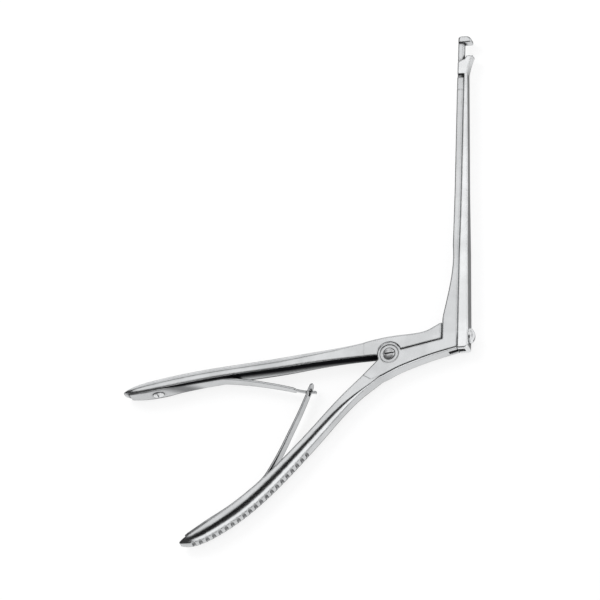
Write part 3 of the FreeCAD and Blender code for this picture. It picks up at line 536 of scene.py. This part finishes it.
# %% The rear spring
REAR_END = (-84.71, -74.03, 2.75)
REAR_STATIONS = (-83.2, -81.2, -78.7, -75.7, -72.7, -69.2, -65.7, -60.8, -55.8)
REAR_LEAF = [
    (-53.1, -51.75, 2.80), (-51.0, -49.2, 2.80), (-48.3, -44.6, 2.80), (-45.2, -38.6, 2.68),
    (-41.8, -31.2, 2.50), (-38.1, -23.0, 2.30), (-35.1, -15.6, 2.14), (-34.55, -14.2, 2.12),
    (-33.95, -12.6, 2.10), (-33.5, -11.4, 2.08), (-33.2, -10.5, 1.75), (-33.05, -10.05, 1.30),
    (-32.9, -9.6, 0.70),
]
rear_path = [REAR_END] + foot_path("rear_spring_foot", REAR_STATIONS) + REAR_LEAF
rear_spring = strip(
    "rear_spring", rear_spring_steel, rear_path, (-1, -0.52, 0, 0.52, 1), eye=(-14.7, -11.9)
)
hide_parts("rear_spring_foot", "rear_spring_leaf")
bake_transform(rear_spring)

# %% [markdown]
# The punch lies on a white table. A diffuse floor alone would come out grey, so to the camera it
# is mostly a plain white glow, mixed with enough real floor to keep the shadow. Reflections pass
# through it, so that what they show is set in one place only, the tent.

# %% The table
TABLE_HALF = 4.0
TABLE_COLOUR = (0.86, 0.86, 0.87, 1)
UNDER_THE_PUNCH = 0.05
GLOW = 1.16
GLOW_SHARE = 0.7


def table_material():
    material = bpy.data.materials.new("white_table")
    material.use_nodes = True
    shader = Shader(material.node_tree)
    path = shader.node("ShaderNodeLightPath")
    camera_ray = path["Is Camera Ray"]
    real = shader.node("ShaderNodeBsdfDiffuse", {}, {"Color": TABLE_COLOUR})["BSDF"]
    glow = shader.node("ShaderNodeEmission", {}, {"Strength": camera_ray * GLOW})["Emission"]
    clear = shader.node("ShaderNodeBsdfTransparent")["BSDF"]
    blend = {0: camera_ray * GLOW_SHARE, 1: real, 2: glow}
    white = shader.node("ShaderNodeMixShader", {}, blend)["Shader"]
    blend = {0: path["Is Glossy Ray"], 1: white, 2: clear}
    mixed = shader.node("ShaderNodeMixShader", {}, blend)["Shader"]
    shader.finish("ShaderNodeOutputMaterial", mixed)
    return material


def table():
    mesh = bmesh.new()
    bmesh.ops.create_grid(mesh, x_segments=1, y_segments=1, size=TABLE_HALF)
    data = bpy.data.meshes.new("table")
    mesh.to_mesh(data)
    mesh.free()
    data.materials.append(table_material())
    top = bpy.data.objects.new("table", data)
    top.location.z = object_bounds()[0].z - UNDER_THE_PUNCH * MM
    bpy.context.scene.collection.objects.link(top)
    top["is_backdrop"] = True
    print(f"table at z = {top.location.z / MM:.2f} mm")


table()

# %% [markdown]
# Metal shows what stands round it, so its look is made by the room more than by the material. Real
# cards could stand round the punch, but a world that is painted by direction does the same and
# casts no shadow. It is a tent with these patches, each a direction, where it begins and is full,
# and its light: a sheet above, which the flats show; a gap where the camera looks in, which draws
# the dark bands along the rounded backs; a card in front and one to the right, which draw white
# lines along the edges; a wall behind. Two dark patches draw the thin outlines. The table is white
# below a dark rim at the horizon. Only reflections see all this: the camera sees white.

# %% The studio tent
def unit(x, y, z):
    return tuple(Vector((x, y, z)).normalized())


SHEET = unit(-0.231, 0.381, 0.895), 0.89, 0.97, 1.25
GAP = unit(0.231, -0.381, 0.895), 0.86, 0.95, 0.96
CARD = unit(0.60, -0.70, 0.33), 0.70, 0.86, 1.6
RIGHT_CARD = unit(0.70, 0.41, 0.58), 0.82, 0.90, 1.3
WALL = unit(-0.21, 0.97, 0.10), 0.84, 0.93, 1.1
OUTLINE = unit(-0.05, 0.42, -0.91), 0.87, 0.94, 0.82
SIDE = unit(-0.89, 0.38, -0.24), 0.80, 0.92, 0.75
HORIZON = 0.04
TABLE_RIM = (-0.24, -0.04)
TABLE_LIGHT = 1.05
DIM = 0.06
GLOSSY_LIGHT = 0.8
SOFT_LIGHT = 0.64


def tent():
    world = bpy.data.worlds.new("tent")
    bpy.context.scene.world = world
    world.use_nodes = True
    shader = Shader(world.node_tree)
    ray = shader.node("ShaderNodeTexCoord")["Generated"]

    def patch(direction, begin, full, light):
        return shader.dot(ray, direction).fade(begin, full) * light

    height = shader.apart(ray)["Z"]
    above = height.fade(-HORIZON, HORIZON)
    wall = patch(*WALL)
    sky = (DIM + patch(*SHEET) + patch(*CARD) + patch(*RIGHT_CARD) + wall) * (1 - patch(*GAP))
    white_table = (1 - height.fade(*TABLE_RIM)) * TABLE_LIGHT * (1 - patch(*OUTLINE))
    below = white_table + wall * 0.5 + 0.05
    seen = (sky * above + below * (1 - above)) * (1 - patch(*SIDE))
    path = shader.node("ShaderNodeLightPath")
    glossy = path["Is Glossy Ray"]
    camera_ray = path["Is Camera Ray"]
    soft = (1 - camera_ray) * (1 - glossy) * SOFT_LIGHT
    strength = camera_ray + glossy * seen * GLOSSY_LIGHT + soft
    white = {"Color": (1, 1, 1, 1), "Strength": strength}
    backdrop = shader.node("ShaderNodeBackground", {}, white)["Background"]
    shader.finish("ShaderNodeOutputWorld", backdrop)


def lamp(name, place, target, across, power):
    """A soft lamp that reflections don't see. It casts the shadow on the table."""
    data = bpy.data.lights.new(name, "AREA")
    data.size = across
    data.energy = power
    made = bpy.data.objects.new(name, data)
    made.location = place
    made.rotation_euler = (Vector(target) - Vector(place)).to_track_quat("-Z", "Y").to_euler()
    made.visible_glossy = False
    bpy.context.scene.collection.objects.link(made)
    print(f"{name}: {power} W, {across} m")


tent()
lamp("window", (-0.9, 0.8, 1.4), (-0.03, 0.03, 0), 0.8, 9.0)

# %% [markdown]
# The camera looks down at the punch from the front right, turned so that the shaft stands
# upright in the picture. Its three axes were worked out from the photograph, so they are written
# as a rotation matrix. Lines that are parallel on the punch stay parallel there, as with a very
# long lens, so the camera is an orthographic one.

# %% The camera
CAMERA_RIGHT = Vector((0.970, 0.0207, -0.2415)).normalized()
CAMERA_UP = Vector((0.0734, 0.924, 0.375)).normalized()
PIVOT_ON_TOP = Vector((0, 0, 6.5))
MIDDLE_LEFT_OF_PIVOT = 36.45
MIDDLE_ABOVE_PIVOT = 21.9
PICTURE_WIDTH = 246.0
DISTANCE = 1500.0


def camera():
    back = CAMERA_RIGHT.cross(CAMERA_UP)
    middle = PIVOT_ON_TOP - CAMERA_RIGHT * MIDDLE_LEFT_OF_PIVOT + CAMERA_UP * MIDDLE_ABOVE_PIVOT
    data = bpy.data.cameras.new("camera")
    data.type = "ORTHO"
    data.ortho_scale = PICTURE_WIDTH * MM
    data.clip_start = 0.1
    data.clip_end = 20
    made = bpy.data.objects.new("camera", data)
    turn = Matrix((CAMERA_RIGHT, CAMERA_UP, back)).transposed()
    made.matrix_world = Matrix.Translation((middle + back * DISTANCE) * MM) @ turn.to_4x4()
    bpy.context.scene.collection.objects.link(made)
    bpy.context.scene.camera = made
    print(f"picture {PICTURE_WIDTH:.0f} mm wide")


camera()
bpy.context.scene.view_settings.view_transform = "Standard"
